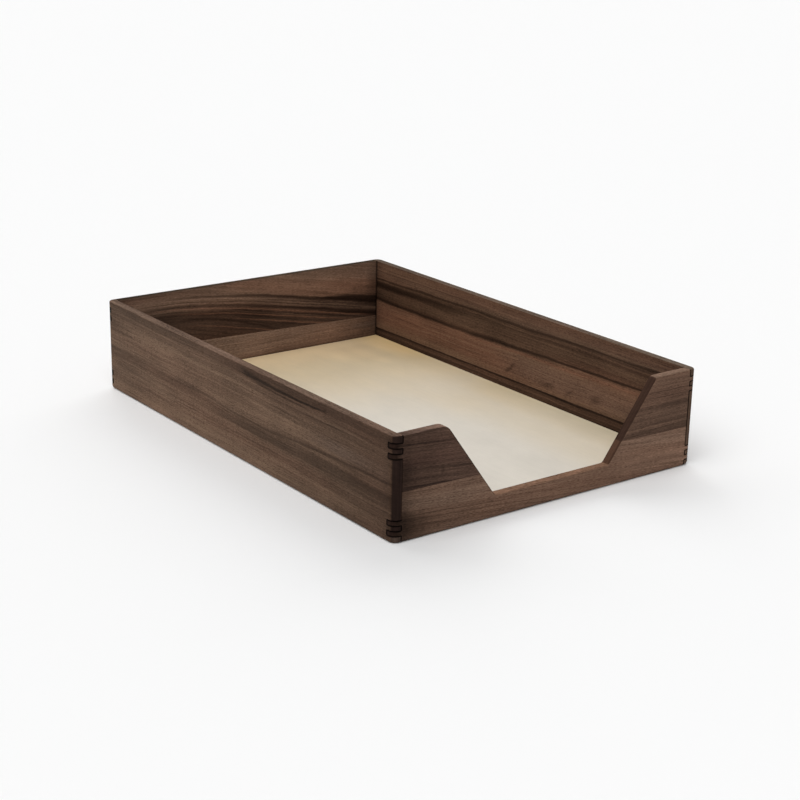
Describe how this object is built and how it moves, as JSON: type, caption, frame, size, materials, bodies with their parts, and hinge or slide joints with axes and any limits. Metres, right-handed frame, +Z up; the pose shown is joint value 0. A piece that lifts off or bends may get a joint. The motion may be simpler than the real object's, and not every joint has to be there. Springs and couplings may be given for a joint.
{
  "type": "letter tray",
  "caption": "Open finger-jointed wooden desk tray for paper, with rounded corners, a tapered scoop in the front board and a pale wooden bottom.",
  "frame": {"origin": "on the desk, under the middle of the tray", "axes": "+Z up from the desk, +Y from the scooped front to the back along the longest side, +X to the right as seen from the front"},
  "size_m": [0.24, 0.35, 0.0655],
  "materials": {
    "walnut_left": "oiled walnut, satin",
    "walnut_right_upper": "oiled walnut, satin",
    "walnut_right_lower": "oiled walnut, satin",
    "walnut_back_upper": "oiled walnut, satin",
    "walnut_back_lower": "oiled walnut, satin",
    "walnut_front_upper": "oiled walnut, satin",
    "walnut_front_lower": "oiled walnut, satin",
    "birch": "clear lacquered birch, satin"
  },
  "bodies": {
    "root": {"left_side_board": "walnut_left", "right_upper_stave": "walnut_right_upper", "right_lower_stave": "walnut_right_lower", "back_upper_stave": "walnut_back_upper", "back_lower_stave": "walnut_back_lower", "front_left_tab": "walnut_front_upper", "front_right_tab": "walnut_front_upper", "front_lower_stave": "walnut_front_lower", "bottom_panel": "birch"}
  },
  "joints": []
}
